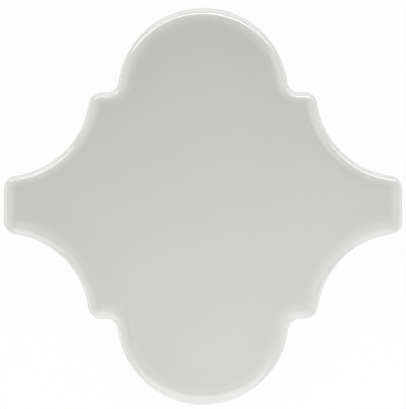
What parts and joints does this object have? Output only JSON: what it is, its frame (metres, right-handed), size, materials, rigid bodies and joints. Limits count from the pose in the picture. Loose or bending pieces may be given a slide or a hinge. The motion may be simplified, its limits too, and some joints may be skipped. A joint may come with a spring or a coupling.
{
  "type": "arabesque tile",
  "caption": "Interlocking moroccan arabesque wall tile: round lobes, flat-ended arms, concave hollows, pillowed glazed face and keyed back.",
  "frame": {"origin": "centre of the back plane, on which the tile lies", "axes": "+Z out of the glazed face, +Y through the two round lobes, +X through the two flat-ended arms"},
  "size_m": [0.12, 0.12, 0.0088],
  "materials": {
    "glazed_body": "gloss glaze on the face and the upper wall, bare fired clay below it and on the back"
  },
  "bodies": {
    "root": {"arabesque_tile": "glazed_body"}
  },
  "joints": []
}
